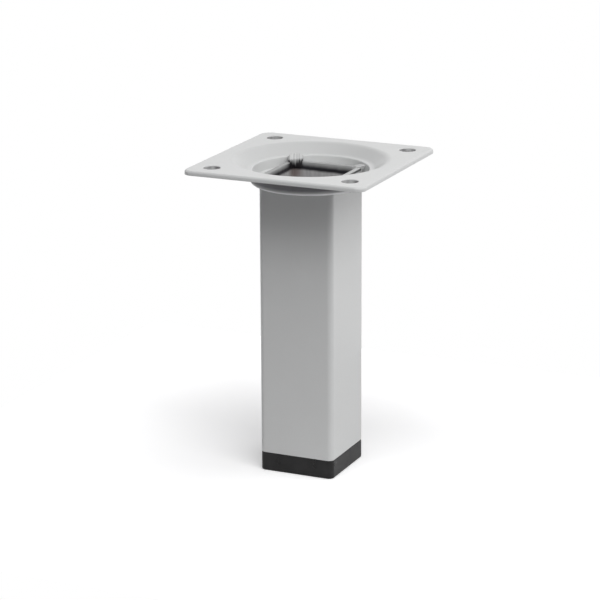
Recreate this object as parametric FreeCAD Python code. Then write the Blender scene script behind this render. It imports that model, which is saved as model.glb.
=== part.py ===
"""A square steel furniture leg: pressed plate, welded tube and plastic glide.

The origin is the centre of the glide's underside, and +Z points up to the plate.
All sizes are in millimetres.
"""
import FreeCAD, Part
import math
import os

from FreeCAD import Vector

# Whole leg
leg_height = 100.0  # underside of the glide to the top of the plate

# Square tube
tube_side = 25.0
tube_wall = 1.5
tube_corner_radius = 1.8
bore_corner_radius = 0.5
tube_end_bevel = 0.2

# Pressed mounting plate
sheet_thickness = 1.5
plate_land = 6.0  # flat margin between the dish and the middle of each side
plate_corner_radius = 3.0
plate_edge_bevel = 0.6
screw_hole_diameter = 5.3
screw_hole_inset = 7.0  # hole centre to both edges of its corner
tube_hole_clearance = 0.05

# Dish of the plate: a conical flare, then a round cup with a flat floor
corner_gap = 1.27  # tube corner to the mouth of the cup
flare_width = 5.8
flare_depth = 3.0
cup_wall_depth = 3.1  # foot of the flare to the floor of the cup
cup_draft = 0.6  # narrowing of the cup towards its floor
rim_bend_radius = 4.0
shoulder_bevel = 0.6  # crisp edge at the foot of the flare
heel_bend_radius = 1.5  # lower outer edge of the cup
tube_stand = 2.1  # end of the tube above the floor of the cup

# Weld beads at the corners of the tube
weld_rise = 0.9  # top of the bead above the end of the tube
weld_foot_radius = 2.6
weld_top_radius = 1.2

# Plastic glide
foot_height = 6.0
foot_edge_round = 0.9
foot_joint_bevel = 0.25
foot_floor = 2.4
plug_length = 14.0
plug_wall = 2.0
plug_corner_radius = 1.2
plug_core_radius = 0.8
plug_clearance = 0.05
lamella_count = 4
lamella_reach = 0.9
lamella_height = 1.4
lamella_chamfer = 0.7

# Sizes and levels that follow from these
tube_corner_reach = (tube_side / 2 - tube_corner_radius) * math.sqrt(2) + tube_corner_radius
cup_radius = tube_corner_reach + corner_gap
rim_radius = cup_radius + flare_width
plate_side = 2 * (rim_radius + plate_land)
dish_reach = rim_radius + plate_land / 2
flare_level = leg_height - flare_depth
floor_level = flare_level - cup_wall_depth
tube_top = floor_level + tube_stand
bore_side = tube_side - 2 * tube_wall
lamella_side = bore_side - 2 * plug_clearance
plug_side = lamella_side - 2 * lamella_reach
plug_top = foot_height + plug_length

up = Vector(0, 0, 1)
origin = Vector(0, 0, 0)
level_tolerance = 1e-6

# Corners of the dish's upper skin, in the plane of its radius and its height
dish_edge = Vector(dish_reach, 0, leg_height)
rim = Vector(rim_radius, 0, leg_height)
shoulder = Vector(cup_radius, 0, flare_level)
heel = Vector(cup_radius - cup_draft, 0, floor_level)
cup_middle = Vector(0, 0, floor_level)


def edges_at(shape, level):
    """The edges of a shape that lie wholly at one height."""
    found = []
    for edge in shape.Edges:
        box = edge.BoundBox
        if max(abs(box.ZMin - level), abs(box.ZMax - level)) < level_tolerance:
            found.append(edge)
    return found


def square_bar(side, corner_radius, bottom, top):
    """A square bar about the Z axis, with rounded upright edges."""
    bar = Part.makeBox(side, side, top - bottom, Vector(-side / 2, -side / 2, bottom))
    uprights = [edge for edge in bar.Edges if edge.BoundBox.ZLength > level_tolerance]
    return bar.makeFillet(corner_radius, uprights)


def at_each_corner(shape):
    """Four copies of a shape, a quarter turn apart about the Z axis."""
    copies = []
    for turn in (0, 90, 180, 270):
        copy = shape.copy()
        copy.rotate(origin, up, turn)
        copies.append(copy)
    return copies


def profile_edges(corners):
    """The edges of a profile through corners, given as pairs of a point and its bend radius."""
    edges = []
    place = corners[0][0]
    neighbours = zip(corners, corners[1:], corners[2:])
    for (before, _), (corner, radius), (after, _) in neighbours:
        to_before = (before - corner).normalize()
        to_after = (after - corner).normalize()
        half_angle = to_before.getAngle(to_after) / 2
        tangent_length = radius / math.tan(half_angle)
        bend_start = corner + to_before * tangent_length
        bend_end = corner + to_after * tangent_length
        edges.append(Part.makeLine(place, bend_start))
        if radius:
            to_middle = (to_before + to_after).normalize()
            bend_middle = corner + to_middle * (radius / math.sin(half_angle) - radius)
            edges.append(Part.Arc(bend_start, bend_middle, bend_end).toShape())
        place = bend_end
    edges.append(Part.makeLine(place, corners[-1][0]))
    return edges


def upper_skin():
    """The corners of the dish's upper skin, from the flat of the plate to the axis."""
    flare_line = (rim - shoulder).normalize()
    wall_line = (heel - shoulder).normalize()
    return [
        (dish_edge, 0),
        (rim, rim_bend_radius),
        (shoulder + flare_line * shoulder_bevel, 0),
        (shoulder + wall_line * shoulder_bevel, 0),
        (heel, 0),
        (cup_middle, 0),
    ]


def lowered(before, corner, after):
    """The corner of the lower skin that lies under a corner of the upper one."""
    to_before = (before - corner).normalize()
    to_after = (after - corner).normalize()
    half_angle = to_before.getAngle(to_after) / 2
    shift = (to_before + to_after).normalize() * (sheet_thickness / math.sin(half_angle))
    outward = shift.x - shift.z
    return corner + shift * math.copysign(1, outward)


def lower_skin():
    """The corners of the dish's lower skin, one sheet thickness from the upper one."""
    drop = up * sheet_thickness
    return [
        (dish_edge - drop, 0),
        (lowered(dish_edge, rim, shoulder), 0),
        (lowered(rim, shoulder, heel), 0),
        (lowered(shoulder, heel, cup_middle), heel_bend_radius),
        (cup_middle - drop, 0),
    ]


def turned(edges):
    """The solid that a closed profile sweeps about the Z axis."""
    profile = Part.Face(Part.Wire(Part.__sortEdges__(edges)))
    return profile.revolve(origin, up, 360)


def make_dish():
    """The pressed dish, with the sheet between its two skins."""
    upper = upper_skin()
    lower = lower_skin()
    rim_edge = Part.makeLine(upper[0][0], lower[0][0])
    middle_edge = Part.makeLine(upper[-1][0], lower[-1][0])
    return turned(profile_edges(upper) + profile_edges(lower) + [rim_edge, middle_edge])


def make_dish_space():
    """The hollow of the dish, up to the level of the plate."""
    skin = upper_skin()
    lid_middle = Vector(0, 0, leg_height)
    lid = [Part.makeLine(skin[-1][0], lid_middle), Part.makeLine(lid_middle, skin[0][0])]
    return turned(profile_edges(skin) + lid)


def make_screw_hole():
    """The cutter of one screw hole."""
    reach = plate_side / 2 - screw_hole_inset
    foot = Vector(reach, reach, leg_height - sheet_thickness)
    return Part.makeCylinder(screw_hole_diameter / 2, sheet_thickness, foot)


def make_mounting_plate():
    """The square plate with its dish, its screw holes and the hole for the tube."""
    underside = leg_height - sheet_thickness
    blank = square_bar(plate_side, plate_corner_radius, underside, leg_height)
    blank = blank.makeChamfer(plate_edge_bevel, edges_at(blank, leg_height))
    blank = blank.cut(Part.makeCylinder(dish_reach, sheet_thickness, Vector(0, 0, underside)))
    plate = blank.fuse(make_dish()).removeSplitter()
    hole_side = tube_side + 2 * tube_hole_clearance
    hole_corner = tube_corner_radius + tube_hole_clearance
    tube_hole = square_bar(hole_side, hole_corner, floor_level - sheet_thickness, floor_level)
    return plate.cut([tube_hole] + at_each_corner(make_screw_hole()))


def make_tube_bar():
    """The outer shape of the tube, with bevelled ends."""
    bar = square_bar(tube_side, tube_corner_radius, foot_height, tube_top)
    ends = edges_at(bar, foot_height) + edges_at(bar, tube_top)
    return bar.makeChamfer(tube_end_bevel, ends)


def make_leg_tube():
    """The square tube, from the glide to its end inside the dish."""
    bore = square_bar(bore_side, bore_corner_radius, foot_height, tube_top)
    return make_tube_bar().cut(bore)


def make_corner_welds():
    """Four heaped beads that join the wall of the cup to the corners of the tube's end."""
    height = tube_stand + weld_rise
    bead_foot = Vector(tube_corner_reach + corner_gap / 2, 0, floor_level)
    bead = Part.makeCone(weld_foot_radius, weld_top_radius, height, bead_foot)
    bead.rotate(origin, up, 45)
    weld = bead.common(make_dish_space()).cut(make_tube_bar())
    return Part.makeCompound(at_each_corner(weld))


def make_lamella(bottom):
    """One sprung rib round the plug, with a lead-in at its top."""
    top = bottom + lamella_height
    rib = square_bar(lamella_side, bore_corner_radius, bottom, top)
    return rib.makeChamfer(lamella_chamfer, edges_at(rib, top))


def make_foot_cap():
    """The glide: a head flush with the tube, and a hollow ribbed plug inside it."""
    head = square_bar(tube_side, tube_corner_radius, 0, foot_height)
    head = head.makeFillet(foot_edge_round, edges_at(head, 0))
    head = head.makeChamfer(foot_joint_bevel, edges_at(head, foot_height))
    plug = square_bar(plug_side, plug_corner_radius, foot_height, plug_top)
    pitch = plug_length / lamella_count
    first_rib = foot_height + (pitch - lamella_height) / 2
    ribs = [make_lamella(first_rib + pitch * number) for number in range(lamella_count)]
    cap = head.fuse([plug] + ribs).removeSplitter()
    return cap.cut(square_bar(plug_side - 2 * plug_wall, plug_core_radius, foot_floor, plug_top))


pieces = {
    "mounting_plate": make_mounting_plate(),
    "leg_tube": make_leg_tube(),
    "corner_welds": make_corner_welds(),
    "foot_cap": make_foot_cap(),
}
os.makedirs("parts", exist_ok=True)
for name, shape in pieces.items():
    shape.exportStep(f"parts/{name}.step")
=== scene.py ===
"""Dresses a square steel furniture leg: pressed plate, welded tube and plastic glide.

Pieces are modelled in millimetres, at the sizes of the solids, and each finished mesh is scaled to
metres. The origin is the centre of the glide's underside, and +Z points up to the plate.
"""
import logging
import math
from collections.abc import Callable
from dataclasses import dataclass
from enum import Enum

import bmesh
import bpy
from mathutils import Euler, Matrix, Vector


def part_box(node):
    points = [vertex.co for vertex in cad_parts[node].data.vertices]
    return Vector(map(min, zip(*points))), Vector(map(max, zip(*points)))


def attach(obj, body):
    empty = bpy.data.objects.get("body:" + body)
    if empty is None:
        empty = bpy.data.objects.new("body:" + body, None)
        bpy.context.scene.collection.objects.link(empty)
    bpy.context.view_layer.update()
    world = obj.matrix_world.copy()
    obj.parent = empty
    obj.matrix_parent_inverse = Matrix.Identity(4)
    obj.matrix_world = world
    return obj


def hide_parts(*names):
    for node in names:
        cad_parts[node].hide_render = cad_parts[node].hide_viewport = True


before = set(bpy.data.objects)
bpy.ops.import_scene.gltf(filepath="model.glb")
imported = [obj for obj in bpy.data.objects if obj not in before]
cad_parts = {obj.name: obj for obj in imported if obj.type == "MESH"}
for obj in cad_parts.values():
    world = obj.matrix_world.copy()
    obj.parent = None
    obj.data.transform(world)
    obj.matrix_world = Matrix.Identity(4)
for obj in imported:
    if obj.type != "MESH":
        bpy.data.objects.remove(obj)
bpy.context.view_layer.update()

log = logging.getLogger("square_leg")

MILLIMETRE = 0.001
ROOT_BODY = "root"
NEAR = 0.01  # millimetres within which two places count as one
SMOOTH_ANGLE = math.radians(35)
SQUARE_ANGLE = math.radians(60)  # least angle between two faces that meet squarely
LEVEL_NORMAL = 0.9  # least upward part of a level face's normal
UPRIGHT_NORMAL = 0.3  # most upward part of an upright face's normal
NOISE_MIDDLE = 0.5
NOISE_SPAN = (0.3, 0.7)  # where most values of a noise lie
PLAIN_DETAIL = 2.0  # octaves of finer noise
RICH_DETAIL = 3.0
LEG_MIDDLE = (0, 0, 0.05)  # in metres

Colour = tuple[float, float, float]
Place = tuple[float, float, float]
Span = tuple[float, float]
Edge = bmesh.types.BMEdge
Element = bmesh.types.BMVert | bmesh.types.BMEdge | bmesh.types.BMFace
Face = bpy.types.MeshPolygon
Material = bpy.types.Material
Piece = bpy.types.Object
Socket = bpy.types.NodeSocket


class Pick(Enum):
    """What a selection in edit mode takes: the mesh's collection and the select mode."""

    VERTS = ("verts", "VERT")
    EDGES = ("edges", "EDGE")
    FACES = ("faces", "FACE")


class Slot(Enum):
    """The material slots of the record."""

    STEEL = "painted_steel"
    PLASTIC = "black_plastic"


def near(value: float, target: float) -> bool:
    """Whether two lengths in millimetres are the same."""
    return abs(value - target) < NEAR


def at_level(edge: Edge, level: float) -> bool:
    """Whether an edge lies wholly at one height."""
    return all(near(vert.co.z, level) for vert in edge.verts)


def is_upright(edge: Edge) -> bool:
    """Whether an edge runs along the Z axis."""
    run = edge.verts[0].co - edge.verts[1].co
    return abs(run.z) > NEAR and run.xy.length < NEAR


def is_square_edge(edge: Edge) -> bool:
    """Whether the two faces of an edge meet at about a right angle."""
    return len(edge.link_faces) == 2 and edge.calc_face_angle() > SQUARE_ANGLE


def select_only(piece: Piece) -> None:
    """Selects one piece and makes it the active one.

    Args:
        piece: The piece.
    """
    bpy.ops.object.select_all(action="DESELECT")
    piece.select_set(True)
    bpy.context.view_layer.objects.active = piece


def bearing(azimuth: float, elevation: float) -> Vector:
    """The direction of a place round the leg, from its angles in degrees."""
    turn, climb = math.radians(azimuth), math.radians(elevation)
    return Euler((-climb, 0, turn)).to_matrix() @ Vector((0, -1, 0))


def bent_profile(corners: list[Place], steps: int) -> list[Span]:
    """Rounds the inner corners of a turned profile.

    Args:
        corners: Radius, level and bend radius of each corner.
        steps: Straight steps in each bend.

    Returns:
        Radius and level of each point.
    """
    points = [Vector(corner[:2]) for corner in corners]
    profile = [points[0]]
    for index in range(1, len(corners) - 1):
        corner = points[index]
        radius = corners[index][2]
        to_before = (points[index - 1] - corner).normalized()
        to_after = (points[index + 1] - corner).normalized()
        half_angle = to_before.angle(to_after) / 2
        tangent = radius / math.tan(half_angle)
        middle = corner + (to_before + to_after).normalized() * radius / math.sin(half_angle)
        start = (corner + to_before * tangent - middle).normalized()
        end = (corner + to_after * tangent - middle).normalized()
        profile += [middle + start.slerp(end, step / steps) * radius for step in range(steps + 1)]
    profile.append(points[-1])
    return [(point.x, point.y) for point in profile]


class Workpiece:
    """A mesh under work, in millimetres, shaped with edit-mode operators."""

    def __init__(self, name: str, add_primitive: Callable[[], object]) -> None:
        """Starts a piece from a primitive and enters edit mode.

        Args:
            name: Name of the finished piece.
            add_primitive: Adds the primitive at its size and place.
        """
        bpy.ops.object.select_all(action="DESELECT")
        add_primitive()
        self.object = bpy.context.object
        self.object.name = name
        self.object.data.name = name
        bpy.ops.object.transform_apply()
        bpy.ops.object.mode_set(mode="EDIT")

    def pick(self, kind: Pick, test: Callable[[Element], bool]) -> None:
        """Selects the elements that pass a test, and nothing else.

        Args:
            kind: Whether vertices, edges or faces are taken.
            test: Says whether one element is taken, by its place or normal.
        """
        collection, mode = kind.value
        bpy.ops.mesh.select_mode(type=mode)
        bpy.ops.mesh.select_all(action="DESELECT")
        mesh = bmesh.from_edit_mesh(self.object.data)
        for element in getattr(mesh, collection):
            if test(element):
                element.select_set(True)
        bmesh.update_edit_mesh(self.object.data)

    def extrude(self, rise: float, spread: float = 1.0) -> None:
        """Extrudes the selection along Z and scales it about the Z axis.

        Args:
            rise: Height of the step.
            spread: Factor on the distance from the Z axis.
        """
        bpy.ops.mesh.extrude_region_move(TRANSFORM_OT_translate={"value": (0, 0, rise)})
        bpy.ops.transform.resize(value=(spread, spread, 1), center_override=(0, 0, 0))

    def thicken(self, thickness: float) -> None:
        """Turns the sheet into a solid, away from its outer side.

        Args:
            thickness: Thickness of the sheet.
        """
        bpy.ops.object.mode_set(mode="OBJECT")
        modifier = self.object.modifiers.new("Thickness", "SOLIDIFY")
        modifier.thickness = thickness
        modifier.offset = -1
        modifier.use_even_offset = True
        bpy.ops.object.modifier_apply(modifier=modifier.name)
        bpy.ops.object.mode_set(mode="EDIT")

    def bevel(self, test: Callable[[Edge], bool], width: float, steps: int) -> None:
        """Rounds the edges that pass a test.

        Args:
            test: Says whether one edge is rounded.
            width: Width of the rounding along each face.
            steps: Faces across the rounding.
        """
        self.pick(Pick.EDGES, test)
        bpy.ops.mesh.bevel(offset=width, segments=steps, affect="EDGES", clamp_overlap=True)

    def finish(self) -> Piece:
        """Shades the mesh, turns it to metres and leaves edit mode.

        Returns:
            The finished piece.
        """
        bpy.ops.object.mode_set(mode="OBJECT")
        bpy.ops.object.shade_smooth_by_angle(angle=SMOOTH_ANGLE)
        modifier = self.object.modifiers.new("EvenShading", "WEIGHTED_NORMAL")
        modifier.keep_sharp = True
        bpy.ops.object.modifier_apply(modifier=modifier.name)
        self.object.scale = (MILLIMETRE, MILLIMETRE, MILLIMETRE)
        bpy.ops.object.transform_apply()
        return self.object


class NodeBoard:
    """The nodes of a material or world while it is wired."""

    def __init__(self, owner: Material | bpy.types.World) -> None:
        """Clears the nodes of a material or world.

        Args:
            owner: What the nodes belong to.
        """
        owner.use_nodes = True
        self.tree = owner.node_tree
        self.tree.nodes.clear()

    def add(self, kind: str, values: dict | None = None, **settings: object) -> bpy.types.Node:
        """Adds a node.

        Args:
            kind: Type of the node.
            values: For each input, by name or number, a constant or the socket that feeds it.
            settings: Values of the node's properties.

        Returns:
            The new node.
        """
        node = self.tree.nodes.new(kind)
        for name, value in settings.items():
            setattr(node, name, value)
        for name, value in (values or {}).items():
            if isinstance(value, Socket):
                self.tree.links.new(value, node.inputs[name])
            else:
                node.inputs[name].default_value = value
        return node

    def stretch(self, place: Socket, factors: Place) -> Socket:
        """Adds a scaling of coordinates.

        Args:
            place: The coordinates.
            factors: Factor along each axis.

        Returns:
            The scaled coordinates.
        """
        return self.add("ShaderNodeMapping", {"Vector": place, "Scale": factors}).outputs["Vector"]

    def ramp(
        self, value: Socket, source: Span, target: Span = (0, 1), smooth: bool = False
    ) -> Socket:
        """Adds a map from one range of values to another.

        Args:
            value: What is mapped.
            source: Values that give the ends of the target.
            target: Values at the ends.
            smooth: Whether the change eases in and out.

        Returns:
            The mapped value, held within the target.
        """
        values = dict(enumerate((value, *source, *target)))
        kind = "SMOOTHSTEP" if smooth else "LINEAR"
        return self.add("ShaderNodeMapRange", values, interpolation_type=kind).outputs["Result"]

    def sums(self, operation: str, first: object, second: object) -> Socket:
        """Adds a sum of two values.

        Args:
            operation: Blender's name of the operation.
            first: A number or a socket.
            second: A number or a socket.

        Returns:
            The result.
        """
        node = self.add("ShaderNodeMath", {0: first, 1: second}, operation=operation)
        return node.outputs["Value"]

    def mix(self, share: object, first: object, second: object) -> Socket:
        """Adds a mix of two colours.

        Args:
            share: Share of the second colour.
            first: A colour or a socket.
            second: A colour or a socket.

        Returns:
            The mixed colour.
        """
        values = {"Factor": share}
        for number, colour in ((6, first), (7, second)):
            values[number] = colour if isinstance(colour, Socket) else (*colour, 1)
        return self.add("ShaderNodeMix", values, data_type="RGBA").outputs[2]


class FinishBoard(NodeBoard):
    """The nodes of a new material, wired from the place on the piece in millimetres."""

    def __init__(self, name: str) -> None:
        """Starts a material.

        Args:
            name: Name of the material.
        """
        self.material = bpy.data.materials.new(name)
        super().__init__(self.material)
        metres = self.add("ShaderNodeTexCoord").outputs["Object"]
        self.place = self.stretch(metres, (1 / MILLIMETRE,) * 3)

    def axes(self) -> bpy.types.bpy_prop_collection:
        """Adds the place along each axis, by the axis's name."""
        return self.add("ShaderNodeSeparateXYZ", {0: self.place}).outputs

    def noise(
        self, grain: float, detail: float = PLAIN_DETAIL, place: Socket | None = None
    ) -> Socket:
        """Adds an even noise.

        Args:
            grain: Size of its grains in millimetres.
            detail: Octaves of finer noise.
            place: Coordinates, where they aren't the place on the piece.

        Returns:
            A value from 0 to 1.
        """
        values = {"Vector": place or self.place, "Scale": 1 / grain, "Detail": detail}
        return self.add("ShaderNodeTexNoise", values).outputs["Fac"]

    def distance(self, point: Place, place: Socket | None = None) -> Socket:
        """Adds the distance to a point.

        Args:
            point: The point in millimetres.
            place: Coordinates, where they aren't the place on the piece.

        Returns:
            The distance in millimetres.
        """
        values = {0: place or self.place, 1: point}
        return self.add("ShaderNodeVectorMath", values, operation="DISTANCE").outputs["Value"]

    def bump(self, height: Socket, depth: float) -> Socket:
        """Adds a relief.

        Args:
            height: Height from 0 to 1.
            depth: Depth of the relief in millimetres.

        Returns:
            The normal.
        """
        values = {"Height": height, "Strength": 1.0, "Distance": depth * MILLIMETRE}
        return self.add("ShaderNodeBump", values).outputs["Normal"]

    def surface(self, shader: bpy.types.Node) -> Material:
        """Sends a shader to the material's output, and gives the material."""
        self.add("ShaderNodeOutputMaterial", {"Surface": shader.outputs[0]})
        return self.material

    def paint(self, values: dict) -> Material:
        """Gives the material with a shader of these values."""
        return self.surface(self.add("ShaderNodeBsdfPrincipled", values))


@dataclass(frozen=True)
class PowderCoat:
    """Satin silver-grey powder coat, with a faint orange-peel skin."""

    name: str = "powder_coat"
    colour: Colour = (0.605, 0.612, 0.607)
    cloud_share: float = 0.04
    speck_share: float = 0.05
    cloud_grain: float = 14.0
    speck_grain: float = 0.35
    peel_grain: float = 1.1
    peel_depth: float = 0.012
    peel_detail: float = 1.5
    roughness: Span = (0.42, 0.52)
    gloss: float = 0.85
    gloss_roughness: float = 0.3
    # painted shade: a darker coat colour, for the flare of the dish and the top of the tube
    painted_shade: Colour = (0.3, 0.304, 0.303)
    darkening_share: float = 0.25  # share of painted shade on the flare of the dish
    flare_rim: Span = (26.0, 23.0)  # radius, from the plain coat to the painted shade
    flare_foot: Span = (18.9, 19.9)

    def shade(self, factor: float) -> Colour:
        """The coat's colour, times a factor."""
        return tuple(channel * factor for channel in self.colour)

    def coat(self, board: FinishBoard) -> Socket:
        """Adds the mottled colour of the coat.

        Args:
            board: The material's nodes.

        Returns:
            The colour.
        """
        clouds = board.noise(self.cloud_grain, RICH_DETAIL)
        specks = board.noise(self.speck_grain)
        share = NOISE_MIDDLE
        for noise, strength in ((clouds, self.cloud_share), (specks, self.speck_share)):
            swing = board.sums("SUBTRACT", noise, NOISE_MIDDLE)
            share = board.sums("ADD", share, board.sums("MULTIPLY", swing, strength))
        return board.mix(share, self.shade(1 - NOISE_MIDDLE), self.shade(1 + NOISE_MIDDLE))

    def skin(self, board: FinishBoard) -> dict:
        """Adds the gloss and relief of the coat.

        Args:
            board: The material's nodes.

        Returns:
            The shader's roughness, normal and gloss.
        """
        peel = board.noise(self.peel_grain, self.peel_detail)
        return {
            "Roughness": board.ramp(peel, NOISE_SPAN, self.roughness),
            "Normal": board.bump(peel, self.peel_depth),
            "Coat Weight": self.gloss,
            "Coat Roughness": self.gloss_roughness,
        }

    def make(self) -> Material:
        """Makes the material of the plate, with painted shade on the flare of the dish.

        Returns:
            The new material.
        """
        board = FinishBoard(self.name)
        off_axis = board.distance((0, 0, 0), board.stretch(board.place, (1, 1, 0)))
        rim = board.ramp(off_axis, self.flare_rim, smooth=True)
        foot = board.ramp(off_axis, self.flare_foot)
        # painted shade on the flare, between its rim and its foot
        flare_shade = board.sums("MULTIPLY", board.sums("MULTIPLY", rim, foot), self.darkening_share)
        colour = board.mix(flare_shade, self.coat(board), self.painted_shade)
        return board.paint({"Base Color": colour, **self.skin(board)})


@dataclass(frozen=True)
class PunchedWall:
    """The sheared wall of a screw hole, darker in patches towards a steel grey."""

    coat: PowderCoat
    name: str = "punched_wall"
    steel: Colour = (0.24, 0.235, 0.24)
    patch_grain: float = 1.9
    patch_depth: float = 0.03
    patches: Span = (0.38, 0.66)
    darkening_share: float = 0.25
    roughness: float = 0.5

    def make(self) -> Material:
        """Makes the material.

        Returns:
            The new material.
        """
        board = FinishBoard(self.name)
        patch = board.noise(self.patch_grain)
        steel_share = board.ramp(patch, self.patches, (self.darkening_share, 1))
        return board.paint({
            "Base Color": board.mix(steel_share, self.coat.coat(board), self.steel),
            "Roughness": self.roughness,
            "Normal": board.bump(patch, self.patch_depth),
        })


@dataclass(frozen=True)
class RecessCoat:
    """The coat on the outside of the dish, with painted shade in the recess under the plate and a
    painted highlight on its heel and underside.
    """

    coat: PowderCoat
    name: str = "recess_coat"
    # painted shade in the recess under the plate
    painted_shade: Colour = (0.165, 0.16, 0.172)
    levels: Span = (93.0, 94.4)
    fade: Span = (95.6, 98.3)  # back to the plain coat, without painted shade, under the plate
    # painted highlight on the heel of the dish, which also covers the underside below it
    painted_highlight: Colour = (0.92, 0.92, 0.93)
    heel_levels: Span = (92.9, 93.4)  # from the painted highlight on the heel to the coat
    roughness: float = 0.5

    def make(self) -> Material:
        """Makes the material.

        Returns:
            The new material.
        """
        board = FinishBoard(self.name)
        level = board.axes()["Z"]
        # painted shade in the recess, fading out under the plate
        above = board.ramp(level, self.levels, smooth=True)
        below = board.ramp(level, self.fade, (1, 0), smooth=True)
        # painted highlight on the heel and the underside below it
        heel = board.ramp(level, self.heel_levels, (1, 0), smooth=True)
        full = board.mix(heel, self.coat.coat(board), self.painted_highlight)
        return board.paint({
            "Base Color": board.mix(board.sums("MULTIPLY", above, below), full, self.painted_shade),
            "Roughness": self.roughness,
            "Normal": self.coat.skin(board)["Normal"],
        })


@dataclass(frozen=True)
class TubeCoat:
    """The coat of the tube, with painted shade near the plate and a dark band of painted shadow
    inside the dish.
    """

    coat: PowderCoat
    name: str = "tube_coat"
    # painted shadow: a dark band on the outside of the tube, in the gap inside the dish
    band: Colour = (0.035, 0.033, 0.036)
    band_levels: Span = (95.05, 95.85)
    band_fade: float = 0.15
    painted_shade_levels: Span = (66.0, 92.5)  # from the plain coat to the painted shade under the plate
    # share of painted shade at the top of the tube, under the plate
    darkening_share: float = 0.45

    def make(self) -> Material:
        """Makes the material.

        Returns:
            The new material.
        """
        board = FinishBoard(self.name)
        level = board.axes()["Z"]
        low, high = self.band_levels
        foot = board.ramp(level, (low, low + self.band_fade))
        head = board.ramp(level, (high, high - self.band_fade))
        # painted shade on the top of the tube, under the plate
        painted_shade = board.ramp(level, self.painted_shade_levels, (0, self.darkening_share))
        coat = board.mix(painted_shade, self.coat.coat(board), self.coat.painted_shade)
        # dark band of painted shadow in the gap inside the dish
        colour = board.mix(board.sums("MULTIPLY", foot, head), coat, self.band)
        return board.paint({"Base Color": colour, **self.coat.skin(board)})


@dataclass(frozen=True)
class BoreSteel:
    """The inside of the tube: coat at its mouth, a band blackened by welding, then steel with draw
    marks.
    """

    coat: PowderCoat
    name: str = "bore_steel"
    black: Colour = (0.010, 0.0095, 0.013)
    steel: Colour = (0.54, 0.535, 0.535)
    steel_shade: Colour = (0.38, 0.375, 0.38)
    coat_levels: Span = (94.1, 95.95)
    black_levels: Span = (92.75, 93.5)
    waver: float = 0.25
    waver_grain: float = 3.0
    lean: float = 0.3  # rise of the band from the right wall to the left one
    half_bore: float = 11.0
    tint: Colour = (0.21, 0.165, 0.155)
    tint_reach: Span = (1.0, 4.5)
    tint_share: float = 0.85
    burn_reach: Span = (0.8, 4.0)
    burn: float = 0.8  # rise of the blackened band in the sooty corner
    smoke_stretch: Place = (1.0, 0.45, 0.5)
    smoke_reach: Span = (0.5, 3.4)
    smoke_share: float = 0.95
    draw_stretch: Place = (1.0, 1.0, 0.15)
    draw_grain: float = 0.8
    draw_depth: float = 0.01
    draw_span: Span = (0.25, 0.75)
    roughness: Span = (0.35, 0.6)

    def make(self) -> Material:
        """Makes the material.

        Returns:
            The new material.
        """
        board = FinishBoard(self.name)
        axes = board.axes()
        half = self.half_bore
        lean = board.ramp(axes["X"], (-half, half), (-self.lean, 0))
        waver = board.noise(self.waver_grain, RICH_DETAIL)
        waver = board.ramp(waver, (0, 1), (-self.waver, self.waver))
        level = board.sums("ADD", board.sums("ADD", axes["Z"], lean), waver)

        draw = board.noise(self.draw_grain, place=board.stretch(board.place, self.draw_stretch))
        steel = board.mix(board.ramp(draw, self.draw_span), self.steel_shade, self.steel)
        corner = (-half, half, self.black_levels[0])
        away = board.distance(corner)
        tint = board.ramp(away, self.tint_reach, (self.tint_share, 0), smooth=True)
        tinted = board.mix(tint, steel, self.tint)
        blackened = board.mix(board.ramp(level, self.black_levels), tinted, self.black)

        corner = (-half, half, self.coat_levels[1])
        burn = board.ramp(board.distance(corner), self.burn_reach, (-self.burn, 0))
        covered = board.ramp(board.sums("ADD", level, burn), self.coat_levels)
        drawn_out = board.stretch(board.place, self.smoke_stretch)
        source = tuple(length * factor for length, factor in zip(corner, self.smoke_stretch))
        off_source = board.distance(source, drawn_out)
        smoke = board.ramp(off_source, self.smoke_reach, (self.smoke_share, 0), smooth=True)
        smoked = board.mix(smoke, self.coat.coat(board), self.black)
        return board.paint({
            "Base Color": board.mix(covered, blackened, smoked),
            "Roughness": board.ramp(draw, NOISE_SPAN, self.roughness),
            "Normal": board.bump(draw, self.draw_depth),
        })


@dataclass(frozen=True)
class SawnEnd:
    """The coated end of the tube, with fine saw marks, and painted shade on its left and back and
    painted light on its right.
    """

    coat: PowderCoat
    name: str = "sawn_end"
    mark_grain: float = 0.3
    mark_depth: float = 0.02
    mark_span: Span = (0.5, 0.75)
    mark_share: float = 0.7
    mark_shade: float = 0.45
    painted_shade_factor: float = 0.60
    painted_light_factor: float = 0.95
    painted_light_side: Span = (9.0, 12.0)  # along X, from the painted shade to the painted light
    soot: Colour = (0.03, 0.026, 0.028)
    sooty_corner: Place = (-12.0, 12.0, 96.0)
    soot_reach: Span = (1.2, 5.5)
    soot_share: float = 0.85
    roughness: float = 0.5

    def make(self) -> Material:
        """Makes the material.

        Returns:
            The new material.
        """
        board = FinishBoard(self.name)
        marks = board.noise(self.mark_grain, RICH_DETAIL)
        painted_shade, full = self.coat.shade(self.painted_shade_factor), self.coat.shade(self.painted_light_factor)
        # painted shade on the left and back, painted light on the right
        plain = board.mix(board.ramp(board.axes()["X"], self.painted_light_side), painted_shade, full)
        mark = board.ramp(marks, self.mark_span, (0, self.mark_share))
        marked = board.mix(mark, plain, self.coat.shade(self.mark_shade))
        off_corner = board.distance(self.sooty_corner)
        soot = board.ramp(off_corner, self.soot_reach, (self.soot_share, 0), smooth=True)
        return board.paint({
            "Base Color": board.mix(soot, marked, self.soot),
            "Roughness": self.roughness,
            "Normal": board.bump(marks, self.mark_depth),
        })


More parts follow.
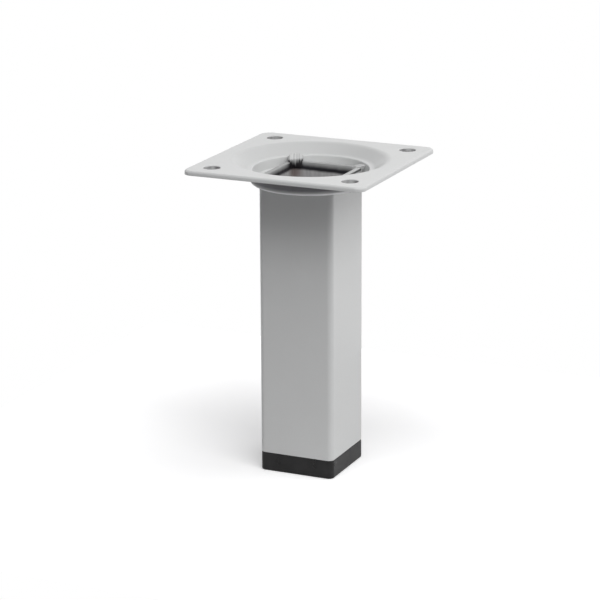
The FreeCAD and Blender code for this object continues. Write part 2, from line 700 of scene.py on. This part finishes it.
@dataclass(frozen=True)
class WeldSkin:
    """Weld metal under a thin coat, streaked with soot towards the bore at one corner."""

    coat: PowderCoat
    name: str = "weld_skin"
    soot: Colour = (0.012, 0.0105, 0.012)
    soot_levels: Span = (113.7, 118.3)  # Z plus Y less X, from soot to clean metal
    soot_span: Span = (0.15, 0.8)
    streak_turn: float = math.radians(24)  # which way the bead was drawn
    streak_width: float = 0.75
    streak_depth: float = 0.05
    streak_span: Span = (0.3, 0.52)
    streak_share: float = 0.55
    sooty_corner: Span = (5.0, 18.0)  # Y less X, from clean to sooty corners
    clean_share: float = 0.12
    smoky_side: Span = (0.4, -2.2)  # X plus Y, towards the smoky end of the bead
    smoky_share: float = 0.2
    roughness: Span = (0.35, 0.55)
    specular: float = 0.3

    def make(self) -> Material:
        """Makes the material.

        Returns:
            The new material.
        """
        board = FinishBoard(self.name)
        axes = board.axes()
        across = board.sums(
            "ADD",
            board.sums("MULTIPLY", axes["X"], math.cos(self.streak_turn) / self.streak_width),
            board.sums("MULTIPLY", axes["Y"], math.sin(self.streak_turn) / self.streak_width),
        )
        values = {"W": across, "Scale": 1.0, "Detail": PLAIN_DETAIL}
        noise = board.add("ShaderNodeTexNoise", values, noise_dimensions="1D")
        streak = noise.outputs["Fac"]
        outward = board.sums("SUBTRACT", axes["Y"], axes["X"])
        level = board.sums("ADD", axes["Z"], outward)
        along = board.sums("ADD", axes["X"], axes["Y"])
        smoke = board.ramp(along, self.smoky_side, (0, self.smoky_share))
        depth = board.sums("ADD", board.ramp(level, self.soot_levels, (1, 0)), smoke)
        half = self.streak_share / 2
        stripe = board.ramp(streak, self.streak_span, (-half, half))
        soot = board.ramp(board.sums("ADD", depth, stripe), self.soot_span)
        corner = board.ramp(outward, self.sooty_corner, (self.clean_share, 1))
        share = board.sums("MULTIPLY", soot, corner)
        return board.paint({
            "Base Color": board.mix(share, self.coat.coat(board), self.soot),
            "Roughness": board.ramp(streak, NOISE_SPAN, self.roughness),
            "Normal": board.bump(streak, self.streak_depth),
            "Specular IOR Level": self.specular,
        })


@dataclass(frozen=True)
class MouldedPlastic:
    """Black moulded plastic with a fine matte grain."""

    name: str = "moulded_plastic"
    dark: Colour = (0.0065, 0.0065, 0.0066)
    light: Colour = (0.016, 0.0155, 0.016)
    cloud_grain: float = 4.0
    grain: float = 0.25
    grain_depth: float = 0.012
    roughness: Span = (0.26, 0.42)
    specular: float = 0.35

    def make(self) -> Material:
        """Makes the material.

        Returns:
            The new material.
        """
        board = FinishBoard(self.name)
        clouds = board.noise(self.cloud_grain, RICH_DETAIL)
        return board.paint({
            "Base Color": board.mix(board.ramp(clouds, NOISE_SPAN), self.dark, self.light),
            "Roughness": board.ramp(clouds, NOISE_SPAN, self.roughness),
            "Normal": board.bump(board.noise(self.grain), self.grain_depth),
            "Specular IOR Level": self.specular,
        })


@dataclass(frozen=True)
class StudioFloor:
    """A white sheet that shows white to the camera and keeps the shadow."""

    name: str = "studio_floor"
    bounce: Colour = (0.85, 0.85, 0.85)
    shown: Colour = (0.95, 0.95, 0.95)
    lift: Span = (0.29, 0.55)  # light that the camera sees added, near the leg and far
    lift_reach: Span = (22.0, 115.0)
    grain: float = 30.0
    mottle: Span = (0.985, 1.0)

    def make(self) -> Material:
        """Makes the material.

        Returns:
            The new material.
        """
        board = FinishBoard(self.name)
        seen = board.add("ShaderNodeLightPath").outputs["Is Camera Ray"]
        mottle = board.ramp(board.noise(self.grain), NOISE_SPAN, self.mottle)
        shown = board.mix(mottle, (0, 0, 0), self.shown)
        plain = board.add("ShaderNodeBsdfDiffuse", {"Color": board.mix(seen, self.bounce, shown)})
        lift = board.ramp(board.distance((0, 0, 0)), self.lift_reach, self.lift, smooth=True)
        glow = board.add("ShaderNodeEmission", {"Strength": board.sums("MULTIPLY", seen, lift)})
        both = board.add("ShaderNodeAddShader", {0: plain.outputs[0], 1: glow.outputs[0]})
        return board.surface(both)


@dataclass
class PressedPlate:
    """The square plate: one sheet with a pressed dish, a tube hole and four screw holes."""

    high: Vector
    name: str = "pressed_plate"
    sheet: float = 1.5
    corner_radius: float = 3.0
    land: float = 6.0
    flare_width: float = 5.8
    lip: float = 1.5  # level ring at the foot of the flare
    flare_depth: float = 3.0
    cup_wall: float = 3.1
    cup_draft: float = 0.6  # narrowing of the cup towards its floor
    rim_bend: float = 3.5
    lip_bend: float = 2.6
    shoulder_bend: float = 0.4
    heel_bend: float = 0.2
    ledge: float = 0.3  # flat ring left at the foot of the cup
    hole_side: float = 25.1
    hole_corner: float = 1.85
    screw_hole_radius: float = 2.65
    screw_hole_inset: float = 7.0
    rolled_edge: float = 0.8  # edge drawn over by the shears
    hole_edge: float = 0.25
    sheared_edge: float = 0.12
    strip: float = 1.3  # even strip of faces along the outer edge
    hole_strip: float = 0.5
    ring_sides: int = 192
    hole_sides: int = 48
    bend_steps: int = 8
    hole_steps: int = 3
    sheared_steps: int = 2

    def rings(self) -> list[Span]:
        """Works out the turned profile of the dish.

        Returns:
            Radius and level of each ring, from the flat inwards.
        """
        top = self.high.z
        rim = self.high.x - self.land
        cup = rim - self.flare_width
        floor = top - self.flare_depth - self.cup_wall
        corners = [
            (rim + self.land / 3, top, 0),
            (rim, top, self.rim_bend),
            (cup + self.lip, top - self.flare_depth, self.lip_bend),
            (cup, top - self.flare_depth, self.shoulder_bend),
            (cup - self.cup_draft, floor, self.heel_bend),
            (cup - self.cup_draft - self.heel_bend - self.ledge, floor, 0),
        ]
        return bent_profile(corners, self.bend_steps)

    def press_dish(self) -> Workpiece:
        """Draws the rings of the dish down from the flat.

        Returns:
            The open sheet of the dish.
        """
        rings = self.rings()
        radius, level = rings[0]
        work = Workpiece(
            self.name,
            lambda: bpy.ops.mesh.primitive_circle_add(
                vertices=self.ring_sides, radius=radius, fill_type="NOTHING", location=(0, 0, level)
            ),
        )
        bpy.ops.mesh.select_mode(type="EDGE")
        bpy.ops.mesh.select_all(action="SELECT")
        for next_radius, next_level in rings[1:]:
            work.extrude(next_level - level, next_radius / radius)
            radius, level = next_radius, next_level
        return work

    def outline_square(self, side: float, corner: float, level: float) -> None:
        """Adds the outline of a rounded square.

        Args:
            side: Length of its sides.
            corner: Radius of its corners.
            level: Its height.
        """
        bpy.ops.mesh.primitive_plane_add(size=side, location=(0, 0, level))
        bpy.ops.mesh.bevel(offset=corner, segments=self.bend_steps, affect="VERTICES")
        bpy.ops.mesh.delete(type="ONLY_FACE")

    def outline_screw_holes(self) -> None:
        """Adds a narrow ring of faces round each screw hole."""
        top = self.high.z
        reach = self.high.x - self.screw_hole_inset
        widen = 1 + self.hole_strip / self.screw_hole_radius
        for x, y in ((-reach, -reach), (reach, -reach), (reach, reach), (-reach, reach)):
            bpy.ops.mesh.primitive_circle_add(
                vertices=self.hole_sides,
                radius=self.screw_hole_radius,
                fill_type="NOTHING",
                location=(x, y, top),
            )
            bpy.ops.mesh.extrude_region_move()
            bpy.ops.transform.resize(value=(widen, widen, 1), center_override=(x, y, top))

    def build(self) -> Piece:
        """Models the plate.

        Returns:
            The finished piece.
        """
        work = self.press_dish()
        top = self.high.z
        floor = self.rings()[-1][1]
        self.outline_square(2 * self.high.x, self.corner_radius, top)
        work.pick(Pick.EDGES, lambda edge: not edge.link_faces)
        work.extrude(0, 1 - self.strip / self.high.x)
        self.outline_screw_holes()
        self.outline_square(self.hole_side, self.hole_corner, floor)
        for level in (top, floor):
            work.pick(Pick.EDGES, lambda edge: self.bounds_fill(edge, level))
            bpy.ops.mesh.fill(use_beauty=True)
        bpy.ops.mesh.select_all(action="SELECT")
        bpy.ops.mesh.normals_make_consistent(inside=False)
        mesh = bmesh.from_edit_mesh(work.object.data)
        if any(at_level(edge, top) and edge.link_faces[0].normal.z < 0 for edge in mesh.edges):
            bpy.ops.mesh.flip_normals()
        work.thicken(self.sheet)
        self.round_edges(work)
        return work.finish()

    def round_edges(self, work: Workpiece) -> None:
        """Rounds the rims of the screw holes and the outer edge.

        Args:
            work: The plate, with its thickness.
        """
        top = self.high.z

        def at_rim(edge: Edge, level: float) -> bool:
            """Whether an edge is on a square rim at one height."""
            return at_level(edge, level) and is_square_edge(edge)

        work.bevel(lambda edge: self.at_hole(edge, top), self.hole_edge, self.hole_steps)
        work.bevel(
            lambda edge: at_rim(edge, top) and not self.at_hole(edge, top),
            self.rolled_edge,
            self.bend_steps,
        )
        work.bevel(
            lambda edge: at_rim(edge, top - self.sheet), self.sheared_edge, self.sheared_steps
        )

    def bounds_fill(self, edge: Edge, level: float) -> bool:
        """Whether an edge bounds the flat that is filled at one height.

        Args:
            edge: The edge.
            level: The height.

        Returns:
            True for an open edge there that isn't on the outer edge or a screw hole.
        """
        if len(edge.link_faces) > 1 or not at_level(edge, level):
            return False
        inside = self.high.x - self.strip / 2
        around = self.screw_hole_radius + self.hole_strip / 2
        return all(
            max(abs(vert.co.x), abs(vert.co.y)) < inside and self.off_hole(vert.co) > around
            for vert in edge.verts
        )

    def off_hole(self, place: Vector) -> float:
        """Works out how far a place lies from the axis of the nearest screw hole."""
        reach = self.high.x - self.screw_hole_inset
        return math.hypot(abs(place.x) - reach, abs(place.y) - reach)

    def at_hole(self, edge: Edge, level: float) -> bool:
        """Whether an edge is on the round of a screw hole at one height."""
        return at_level(edge, level) and all(
            near(self.off_hole(vert.co), self.screw_hole_radius) for vert in edge.verts
        )

    def finish_of(self, face: Face) -> int:
        """Chooses the finish of a face.

        Args:
            face: A face of the finished plate.

        Returns:
            0 for the coat, 1 for the wall of a screw hole, 2 for the dish's outside.
        """
        place = face.center / MILLIMETRE
        in_hole = self.off_hole(place) < self.screw_hole_radius + NEAR
        if in_hole and abs(face.normal.z) < UPRIGHT_NORMAL:
            return 1
        outside = face.normal.xy.dot(place.xy) > 0 or face.normal.z < 0
        return 2 if outside and place.z < self.high.z - self.sheet - NEAR else 0


@dataclass
class SquareTube:
    """The square tube, open at both ends."""

    low: Vector
    high: Vector
    name: str = "square_tube"
    wall: float = 1.5
    corner_radius: float = 1.8
    end_round: float = 0.2
    corner_steps: int = 10
    end_steps: int = 2

    def build(self) -> Piece:
        """Models the tube.

        Returns:
            The finished piece.
        """
        size = self.high - self.low
        middle = (self.high + self.low) / 2
        work = Workpiece(
            self.name, lambda: bpy.ops.mesh.primitive_cube_add(size=1, location=middle, scale=size)
        )
        work.bevel(is_upright, self.corner_radius, self.corner_steps)
        work.pick(Pick.FACES, lambda face: abs(face.normal.z) > LEVEL_NORMAL)
        bpy.ops.mesh.delete(type="FACE")
        work.thicken(self.wall)
        work.bevel(
            lambda edge: is_square_edge(edge) and not is_upright(edge),
            self.end_round,
            self.end_steps,
        )
        return work.finish()

    def finish_of(self, face: Face) -> int:
        """Chooses the finish of a face.

        Args:
            face: A face of the finished tube.

        Returns:
            0 for the outside, 1 for an end, 2 for the bore.
        """
        if abs(face.normal.z) > LEVEL_NORMAL:
            return 1
        reach = max(abs(face.center.x), abs(face.center.y)) / MILLIMETRE
        return 2 if reach < self.high.x - self.wall + NEAR else 0


@dataclass
class CornerWelds:
    """Four ridged pads of weld that run from the flare of the dish over the tube's corners."""

    tube_high: Vector
    name: str = "weld_pad"
    inner_reach: float = 15.05  # ends of the pad's middle, from the axis of the leg
    outer_reach: float = 19.9
    columns: int = 18
    rows: int = 36
    half_width: float = 2.7
    waist: float = 0.35  # share of the width that doesn't swell along the run
    swell_start: float = 0.2  # in half turns of a sine
    swell_run: float = 0.72
    mouth_drop: float = 1.3  # inner end of the pad below the end of the tube
    knee: float = 0.09  # share of the run at which the pad turns onto the end of the tube
    knee_rise: float = 0.65
    climb: float = 1.9  # outer end of the pad above the end of the tube, before it dips
    dip: float = 0.7
    dip_share: float = 0.3
    crown: float = 0.4
    sweep: float = 2.0  # sideways run of the pad's outer end
    ridge_count: float = 3.2
    ridge_height: float = 0.09
    ridge_waver: float = 5.0
    root_depth: float = 2.15  # root of the weld below the end of the tube
    root_taper: Span = (0.53, 0.7)
    first_corner: float = 45.0  # degrees
    leans: tuple[float, ...] = (3.0, -3.0, 4.0, -3.0)  # degrees that each pad is turned
    lean_reach: float = 14.5
    sizes: tuple[float, ...] = (0.5, 1.0, 0.55, 0.6)
    fixed_reach: float = 15.2  # from the axis, where a pad keeps its place when it is sized

    def width(self, share: float) -> float:
        """Works out the half width of the pad at a share of its run."""
        swell = math.sin(math.pi * (self.swell_start + self.swell_run * share))
        return self.half_width * (self.waist + (1 - self.waist) * swell)

    def level(self, share: float) -> float:
        """Works out the height of the pad's middle along its run.

        Args:
            share: Place along the run, from 0 at the bore to 1 on the flare.

        Returns:
            Height above the end of the tube in millimetres.
        """
        if share < self.knee:
            turn = math.sin(math.pi / 2 * share / self.knee)
            return -self.mouth_drop + (self.mouth_drop + self.knee_rise) * turn
        rise = (self.climb - self.knee_rise) * (share - self.knee) / (1 - self.knee)
        end = max(0, (share - 1) / self.dip_share + 1)
        return self.knee_rise + rise - self.dip * end * end

    def section(self, across: float) -> float:
        """Works out the crown and ridges of the pad's section.

        Args:
            across: Place across the pad, from -1 to 1.

        Returns:
            Height in millimetres.
        """
        crown = self.crown * (math.sqrt(max(0, 1 - across * across)) - 1)
        phase = math.sin(self.ridge_waver * across)
        ridges = math.cos(math.pi * self.ridge_count * across + phase)
        return crown + self.ridge_height * ridges * (1 - across * across)

    def model(self) -> Piece:
        """Models one pad, along the X axis and in its full size.

        Returns:
            The finished pad.
        """
        run = self.outer_reach - self.inner_reach
        middle = Vector(((self.outer_reach + self.inner_reach) / 2, 0, self.tube_high.z))
        work = Workpiece(
            f"{self.name}_1",
            lambda: bpy.ops.mesh.primitive_grid_add(
                x_subdivisions=self.columns, y_subdivisions=self.rows, size=2, location=middle
            ),
        )
        bpy.ops.transform.resize(value=(run / 2, 1, 1), center_override=middle)
        mesh = bmesh.from_edit_mesh(work.object.data)
        row_of = [round((vert.co.y + 1) * self.rows / 2) for vert in mesh.verts]
        for row in range(self.rows + 1):
            across = 2 * row / self.rows - 1
            work.pick(Pick.VERTS, lambda vert: row_of[vert.index] == row)
            bpy.ops.transform.translate(value=(0, 0, self.section(across)))
        for column in range(self.columns + 1):
            share = column / self.columns
            reach = self.inner_reach + run * share
            work.pick(Pick.VERTS, lambda vert: near(vert.co.x, reach))
            bpy.ops.transform.resize(value=(1, self.width(share), 1), center_override=(0, 0, 0))
            bpy.ops.transform.translate(value=(0, -self.sweep * share, self.level(share)))
        outer_end = (self.outer_reach, 0, 0)
        for row in range(self.rows + 1):
            back = abs(2 * row / self.rows - 1) * self.width(0)
            work.pick(Pick.VERTS, lambda vert: row_of[vert.index] == row)
            bpy.ops.transform.resize(value=(1 + back / run, 1, 1), center_override=outer_end)
        bpy.ops.mesh.select_all(action="SELECT")
        bpy.ops.mesh.extrude_region_move()
        bpy.ops.transform.resize(
            value=(*self.root_taper, 0),
            center_override=(self.inner_reach, 0, self.tube_high.z - self.root_depth),
        )
        bpy.ops.mesh.select_all(action="SELECT")
        bpy.ops.mesh.normals_make_consistent(inside=False)
        return work.finish()

    def set_down(self, pad: Piece, corner: int) -> None:
        """Sizes a pad and turns it to its corner of the tube.

        Args:
            pad: The pad, as it was modelled.
            corner: Number of the corner, from 0.
        """
        select_only(pad)
        size = self.sizes[corner]
        pad.scale = (size, size, size)
        fixed = Vector((self.fixed_reach, 0, self.tube_high.z)) * MILLIMETRE
        pad.location = fixed * (1 - size)
        bpy.ops.object.transform_apply()
        turn = math.radians(self.first_corner + 90 * corner)
        lean = math.radians(self.leans[corner])
        pivot = Vector((math.cos(turn), math.sin(turn), 0)) * self.lean_reach * MILLIMETRE
        pad.rotation_euler.z = turn + lean
        pad.location = pivot - Matrix.Rotation(lean, 3, "Z") @ pivot
        bpy.ops.object.transform_apply()

    def build(self) -> list[Piece]:
        """Models one pad, copies it and sets each down at its corner.

        Returns:
            The four finished pieces.
        """
        pads = [self.model()]
        for number in range(2, len(self.sizes) + 1):
            select_only(pads[0])
            bpy.ops.object.duplicate(linked=False)
            copy = bpy.context.object
            copy.name = f"{self.name}_{number}"
            copy.data.name = copy.name
            pads.append(copy)
        for corner, pad in enumerate(pads):
            self.set_down(pad, corner)
        return pads


@dataclass
class GlideFoot:
    """The plastic glide: a head flush with the tube, and a ribbed hollow plug."""

    high: Vector
    name: str = "glide_foot"
    head_height: float = 6.0
    corner_radius: float = 1.8
    floor_round: float = 0.45
    joint_round: float = 0.25
    floor_thickness: float = 2.4
    rib_side: float = 21.9
    rib_reach: float = 0.9
    rib_height: float = 1.4
    rib_chamfer: float = 0.7
    rib_count: int = 4
    plug_wall: float = 2.0
    corner_steps: int = 10
    floor_steps: int = 5
    joint_steps: int = 2

    def build(self) -> Piece:
        """Models the glide.

        Returns:
            The finished piece.
        """
        side = 2 * self.high.x
        head = self.head_height
        plug_side = self.rib_side - 2 * self.rib_reach
        work = Workpiece(
            self.name,
            lambda: bpy.ops.mesh.primitive_cube_add(
                size=1, location=(0, 0, head / 2), scale=(side, side, head)
            ),
        )
        work.bevel(is_upright, self.corner_radius, self.corner_steps)
        work.bevel(lambda edge: at_level(edge, 0), self.floor_round, self.floor_steps)
        work.bevel(lambda edge: at_level(edge, head), self.joint_round, self.joint_steps)
        work.pick(
            Pick.FACES,
            lambda face: face.normal.z > LEVEL_NORMAL and near(face.calc_center_median().z, head),
        )
        work.extrude(0, plug_side / (side - 2 * self.joint_round))
        pitch = (self.high.z - head) / self.rib_count
        pause = (pitch - self.rib_height) / 2
        spread = self.rib_side / plug_side
        for _ in range(self.rib_count):
            work.extrude(pause)
            work.extrude(0, spread)
            work.extrude(self.rib_height - self.rib_chamfer)
            work.extrude(self.rib_chamfer, 1 / spread)
            work.extrude(pause)
        work.extrude(0, 1 - 2 * self.plug_wall / plug_side)
        work.extrude(self.floor_thickness - self.high.z)
        return work.finish()


@dataclass(frozen=True)
class Lamp:
    """A square soft box aimed at the leg."""

    name: str
    azimuth: float  # degrees, as the camera's
    elevation: float
    power: float
    width: float = 0.5
    distance: float = 0.7

    def place(self) -> None:
        """Adds the lamp to the scene."""
        away = bearing(self.azimuth, self.elevation)
        bpy.ops.object.light_add(type="AREA", location=Vector(LEG_MIDDLE) + away * self.distance)
        lamp = bpy.context.object
        lamp.name = self.name
        lamp.visible_glossy = False
        lamp.rotation_euler = away.to_track_quat("Z", "Y").to_euler()
        lamp.data.shape = "SQUARE"
        lamp.data.size = self.width
        lamp.data.energy = self.power


@dataclass(frozen=True)
class Viewpoint:
    """Where the camera stands, solved from the leg's straight edges."""

    azimuth: float = 24.34
    elevation: float = 16.12
    roll: float = -0.28
    distance: float = 0.81256
    lens: float = 154.311
    sensor: float = 36.0
    middle_pixel: Span = (311.49, 312.99)  # where the middle of the leg shows
    image_side: float = 600.0
    clip_start: float = 0.01

    def place(self) -> None:
        """Adds the camera to the scene."""
        back = bearing(self.azimuth, self.elevation)
        rolled = Matrix.Rotation(math.radians(self.roll), 3, back)
        right = rolled @ bearing(self.azimuth + 90, 0)
        up = back.cross(right)
        pixel = self.distance * self.sensor / (self.lens * self.image_side)
        across, down = ((place - self.image_side / 2) * pixel for place in self.middle_pixel)
        bpy.ops.object.camera_add()
        camera = bpy.context.object
        camera.matrix_world = Matrix((right, up, back)).transposed().to_4x4()
        camera.location = Vector(LEG_MIDDLE) + back * self.distance - right * across + up * down
        camera.data.sensor_width = self.sensor
        camera.data.lens = self.lens
        camera.data.clip_start = self.clip_start
        bpy.context.scene.camera = camera


@dataclass
class Studio:
    """The white floor, the soft light and the camera."""

    floor_side: float = 0.24
    floor_gap: float = 0.00005
    sky: float = 0.05
    sky_colour: Colour = (0.9, 0.86, 1.0)
    lamps: tuple[Lamp, ...] = (
        Lamp("key_lamp", azimuth=52, elevation=45, power=2.7),
        Lamp("side_lamp", azimuth=124, elevation=20, power=2.55, width=0.8),
        Lamp("back_lamp", azimuth=180, elevation=10, power=0.25),
        Lamp("high_lamp", azimuth=0, elevation=65, power=1.85),
    )

    def lay_floor(self) -> None:
        """Lays the floor under the leg."""
        bpy.ops.object.select_all(action="DESELECT")
        bpy.ops.mesh.primitive_plane_add(size=self.floor_side, location=(0, 0, -self.floor_gap))
        floor = bpy.context.object
        floor.name = "floor"
        floor.data.materials.append(StudioFloor().make())

    def hang_sky(self) -> None:
        """Makes the even light round the leg, which shows white."""
        world = bpy.data.worlds.new("studio_sky")
        bpy.context.scene.world = world
        board = NodeBoard(world)
        path = board.add("ShaderNodeLightPath").outputs
        shown = board.sums("MAXIMUM", path["Is Camera Ray"], path["Is Glossy Ray"])
        light = {"Color": (*self.sky_colour, 1), "Strength": self.sky}
        dim = board.add("ShaderNodeBackground", light)
        white = board.add("ShaderNodeBackground", {"Color": (1, 1, 1, 1), "Strength": 1.0})
        shaders = {0: shown, 1: dim.outputs[0], 2: white.outputs[0]}
        both = board.add("ShaderNodeMixShader", shaders)
        board.add("ShaderNodeOutputWorld", {"Surface": both.outputs[0]})

    def build(self) -> None:
        """Sets up the floor, the light and the camera."""
        bpy.context.scene.view_settings.view_transform = "Standard"
        self.lay_floor()
        self.hang_sky()
        for lamp in self.lamps:
            lamp.place()
        Viewpoint().place()


def dress(piece: Piece, materials: list[Material], finish_of: Callable[[Face], int]) -> None:
    """Gives each face of a piece its finish.

    Args:
        piece: The finished piece.
        materials: The materials of its finishes.
        finish_of: Gives the number of one face's finish.
    """
    for material in materials:
        piece.data.materials.append(material)
    for face in piece.data.polygons:
        face.material_index = finish_of(face)


def seat(piece: Piece, node: str, slot: Slot) -> None:
    """Joins a piece to the frame and reports it.

    Args:
        piece: The finished piece.
        node: The solid that it stands for.
        slot: Its material slot in the record; not used.
    """
    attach(piece, ROOT_BODY)
    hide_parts(node)
    log.info("%s: %d faces, for %s", piece.name, len(piece.data.polygons), node)


def solid_box(node: str) -> tuple[Vector, Vector]:
    """The box of a solid, in millimetres."""
    low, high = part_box(node)
    return low / MILLIMETRE, high / MILLIMETRE


def main() -> None:
    """Builds and dresses the pieces, and sets up the studio."""
    logging.basicConfig(level=logging.INFO, format="%(name)s: %(message)s")
    coat = PowderCoat()
    plate = PressedPlate(solid_box("mounting_plate")[1])
    piece = plate.build()
    finishes = (coat, PunchedWall(coat), RecessCoat(coat))
    dress(piece, [finish.make() for finish in finishes], plate.finish_of)
    seat(piece, "mounting_plate", Slot.STEEL)

    tube = SquareTube(*solid_box("leg_tube"))
    piece = tube.build()
    finishes = (TubeCoat(coat), SawnEnd(coat), BoreSteel(coat))
    dress(piece, [finish.make() for finish in finishes], tube.finish_of)
    seat(piece, "leg_tube", Slot.STEEL)

    weld_skin = WeldSkin(coat).make()
    for pad in CornerWelds(solid_box("leg_tube")[1]).build():
        pad.data.materials.append(weld_skin)
        seat(pad, "corner_welds", Slot.STEEL)

    foot = GlideFoot(solid_box("foot_cap")[1]).build()
    foot.data.materials.append(MouldedPlastic().make())
    seat(foot, "foot_cap", Slot.PLASTIC)

    Studio().build()


if __name__ == "__main__":
    main()
